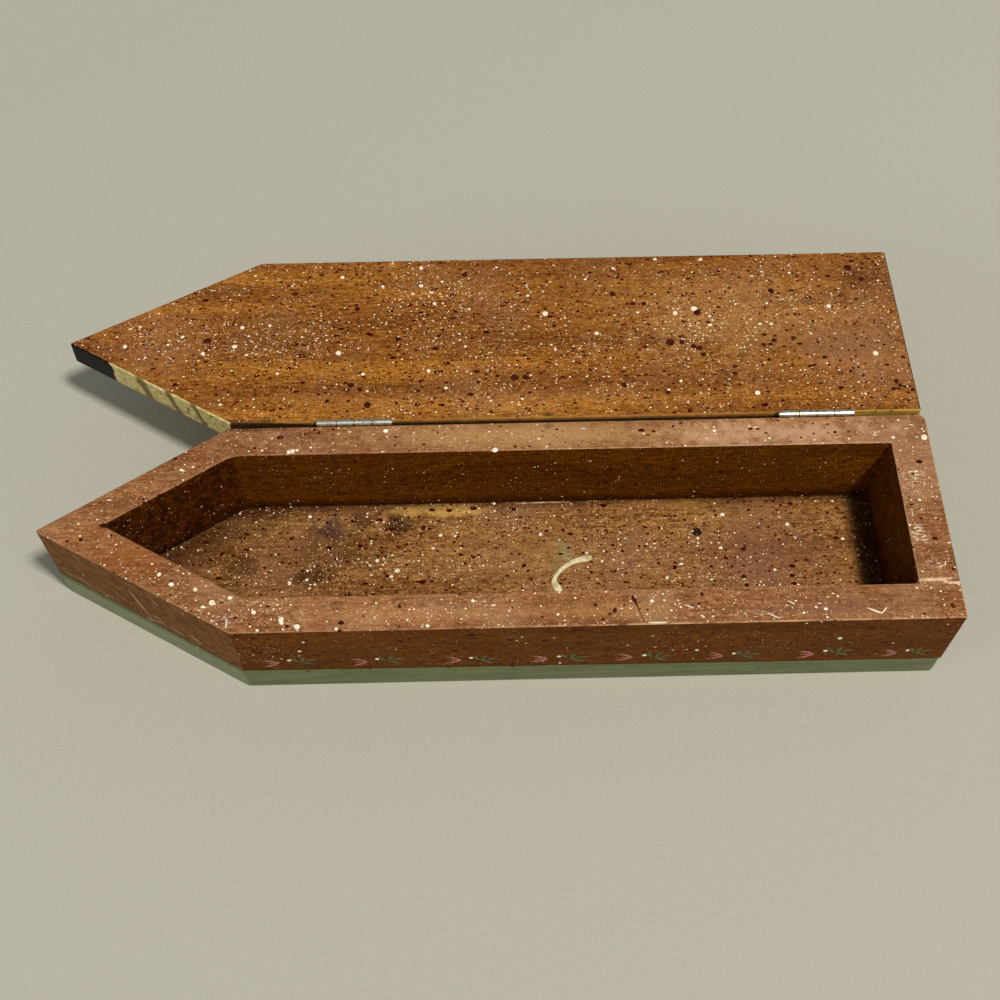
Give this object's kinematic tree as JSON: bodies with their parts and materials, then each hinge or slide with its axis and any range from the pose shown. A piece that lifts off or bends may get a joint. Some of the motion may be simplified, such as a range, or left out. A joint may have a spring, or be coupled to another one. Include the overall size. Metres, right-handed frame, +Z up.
{
  "type": "pencil box",
  "caption": "Pencil-shaped wooden pencil box: deep sawn-out body on a painted base board, with a hinged lid board thrown open.",
  "frame": {"origin": "middle of the outline, halfway along and across, on the base board's underside", "axes": "+X from the pencil tip to the square end, +Y from the front to the hinges, +Z up"},
  "size_m": [0.2978, 0.1551, 0.0437],
  "materials": {
    "stained_wood": "orange-brown stain with fine paint spatter, satin varnish",
    "stained_lid_wood": "orange-brown stain and spatter inside, painted edge and outside",
    "painted_base_wood": "sage green paint on the edge, stained and spattered floor",
    "wood_filler": "dried wood filler and glue",
    "hinge_plate": "thin nickel plating, dulled",
    "hinge_pin": "drawn wire",
    "hinge_nail": "plated round heads"
  },
  "bodies": {
    "box": {"body_block": "stained_wood", "kerf_filler": "wood_filler", "base_board": "painted_base_wood", "left_hinge_box_leaf": "hinge_plate", "left_hinge_pin": "hinge_pin", "left_hinge_box_nails": "hinge_nail", "right_hinge_box_leaf": "hinge_plate", "right_hinge_pin": "hinge_pin", "right_hinge_box_nails": "hinge_nail"},
    "lid": {"lid_board": "stained_lid_wood", "left_hinge_lid_leaf": "hinge_plate", "left_hinge_lid_nails": "hinge_nail", "right_hinge_lid_leaf": "hinge_plate", "right_hinge_lid_nails": "hinge_nail"}
  },
  "joints": [
    {"name": "lid_hinge", "type": "hinge", "parent": "box", "child": "lid", "pos_m": [0, 0.0397, 0.0423], "axis": [1, 0, 0], "range_deg": [0, 185.8]}
  ]
}
